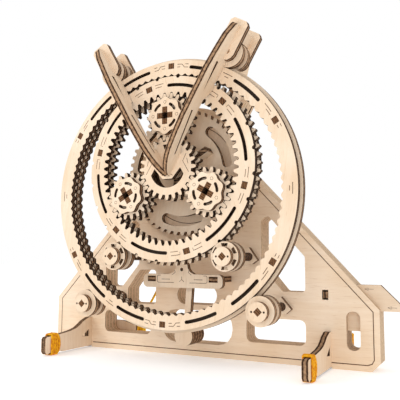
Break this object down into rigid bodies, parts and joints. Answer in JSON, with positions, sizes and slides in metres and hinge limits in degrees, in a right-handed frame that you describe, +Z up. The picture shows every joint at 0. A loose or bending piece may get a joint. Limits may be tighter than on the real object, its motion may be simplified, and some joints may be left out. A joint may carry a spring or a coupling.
{
  "type": "planetary gear model",
  "caption": "Free-standing plywood model of planetary gears: two nested toothed rings on rollers, planets on a carrier round a fixed sun, a panel stand on feet and a push-in slide.",
  "frame": {"origin": "middle of the panel's bottom edge, on the floor", "axes": "+X to the right seen from the front, -Y the front where the gears are, +Z up"},
  "size_m": [0.2035, 0.0975, 0.1671],
  "materials": {
    "plywood": "bare, smooth-sanded birch ply with burnt edges",
    "rubber": "matte"
  },
  "bodies": {
    "stand": {"panel_front": "plywood", "panel_core_front": "plywood", "panel_core_rear": "plywood", "panel_back": "plywood", "panel_keys": "plywood", "foot_left": "plywood", "foot_right": "plywood", "foot_bands": "rubber", "roller_gussets": "plywood", "centre_bracket": "plywood", "bracket_ties": "plywood", "bracket_pillar": "plywood", "rib_left": "plywood", "rib_right": "plywood", "front_cheeks": "plywood", "rear_cheeks": "plywood", "rear_ribs": "plywood", "sun_front_gear": "plywood", "sun_rear_gear": "plywood", "top_axle_left": "plywood", "top_axle_right": "plywood", "motor_band": "rubber", "band_hook": "plywood"},
    "carrier": {"carrier_disc": "plywood", "carrier_flange": "plywood", "carrier_webs": "plywood", "carrier_pins": "plywood", "carrier_shaft": "plywood", "band_drum": "plywood"},
    "outer_ring": {"outer_ring_front": "plywood", "outer_ring_track": "plywood", "outer_ring_rear": "plywood", "outer_ring_sticks": "plywood"},
    "small_ring": {"small_ring_front": "plywood", "small_ring_gear": "plywood", "small_ring_rear": "plywood", "small_ring_sticks": "plywood"},
    "planet_top": {"planet_top_flower": "plywood", "planet_top_front_gear": "plywood", "planet_top_rear_gear": "plywood", "planet_top_sticks": "plywood"},
    "planet_left": {"planet_left_flower": "plywood", "planet_left_front_gear": "plywood", "planet_left_rear_gear": "plywood", "planet_left_sticks": "plywood"},
    "planet_right": {"planet_right_flower": "plywood", "planet_right_front_gear": "plywood", "planet_right_rear_gear": "plywood", "planet_right_sticks": "plywood"},
    "low_wheel_left": {"low_roller_left": "plywood", "low_axle_left": "plywood"},
    "mid_wheel_left": {"mid_roller_left": "plywood", "mid_axle_left": "plywood"},
    "top_wheel_left": {"top_roller_left": "plywood"},
    "low_wheel_right": {"low_roller_right": "plywood", "low_axle_right": "plywood"},
    "mid_wheel_right": {"mid_roller_right": "plywood", "mid_axle_right": "plywood"},
    "top_wheel_right": {"top_roller_right": "plywood"},
    "slide": {"lock_slide": "plywood"}
  },
  "joints": [
    {"name": "carrier_spin", "type": "hinge", "parent": "stand", "child": "carrier", "pos_m": [0, -0.0348, 0.0972], "axis": [0, -1, 0], "continuous": true},
    {"name": "planet_top_spin", "type": "hinge", "parent": "carrier", "child": "planet_top", "pos_m": [0, -0.0348, 0.12345], "axis": [0, -1, 0], "continuous": true},
    {"name": "planet_left_spin", "type": "hinge", "parent": "carrier", "child": "planet_left", "pos_m": [-0.02273, -0.0348, 0.08407], "axis": [0, -1, 0], "continuous": true},
    {"name": "planet_right_spin", "type": "hinge", "parent": "carrier", "child": "planet_right", "pos_m": [0.02273, -0.0348, 0.08407], "axis": [0, -1, 0], "continuous": true},
    {"name": "small_ring_spin", "type": "hinge", "parent": "stand", "child": "small_ring", "pos_m": [0, -0.0348, 0.0972], "axis": [0, -1, 0], "continuous": true},
    {"name": "outer_ring_spin", "type": "hinge", "parent": "stand", "child": "outer_ring", "pos_m": [0, -0.0348, 0.0847], "axis": [0, -1, 0], "continuous": true},
    {"name": "mid_wheel_left_spin", "type": "hinge", "parent": "stand", "child": "mid_wheel_left", "pos_m": [-0.0315, -0.0348, 0.05309], "axis": [0, -1, 0], "continuous": true},
    {"name": "low_wheel_left_spin", "type": "hinge", "parent": "stand", "child": "low_wheel_left", "pos_m": [-0.049, -0.0348, 0.02845], "axis": [0, -1, 0], "continuous": true},
    {"name": "top_wheel_left_spin", "type": "hinge", "parent": "stand", "child": "top_wheel_left", "pos_m": [-0.0342, -0.0348, 0.151], "axis": [0, -1, 0], "continuous": true},
    {"name": "mid_wheel_right_spin", "type": "hinge", "parent": "stand", "child": "mid_wheel_right", "pos_m": [0.0315, -0.0348, 0.05309], "axis": [0, -1, 0], "continuous": true},
    {"name": "low_wheel_right_spin", "type": "hinge", "parent": "stand", "child": "low_wheel_right", "pos_m": [0.049, -0.0348, 0.02845], "axis": [0, -1, 0], "continuous": true},
    {"name": "top_wheel_right_spin", "type": "hinge", "parent": "stand", "child": "top_wheel_right", "pos_m": [0.0342, -0.0348, 0.151], "axis": [0, -1, 0], "continuous": true},
    {"name": "lock_slide_push", "type": "slide", "parent": "stand", "child": "slide", "axis": [-1, 0, 0], "range_m": [0, 0.0065]}
  ],
  "couplings": [
    {"joint": "planet_top_spin", "follows": "carrier_spin", "ratio": 1.3333},
    {"joint": "planet_left_spin", "follows": "carrier_spin", "ratio": 1.3333},
    {"joint": "planet_right_spin", "follows": "carrier_spin", "ratio": 1.3333},
    {"joint": "small_ring_spin", "follows": "carrier_spin", "ratio": 1.4},
    {"joint": "outer_ring_spin", "follows": "carrier_spin", "ratio": 1.1083},
    {"joint": "mid_wheel_left_spin", "follows": "carrier_spin", "ratio": -9.2676},
    {"joint": "low_wheel_left_spin", "follows": "carrier_spin", "ratio": -13.905},
    {"joint": "top_wheel_left_spin", "follows": "carrier_spin", "ratio": -13.905},
    {"joint": "mid_wheel_right_spin", "follows": "carrier_spin", "ratio": -9.2676},
    {"joint": "low_wheel_right_spin", "follows": "carrier_spin", "ratio": -13.905},
    {"joint": "top_wheel_right_spin", "follows": "carrier_spin", "ratio": -13.905}
  ]
}
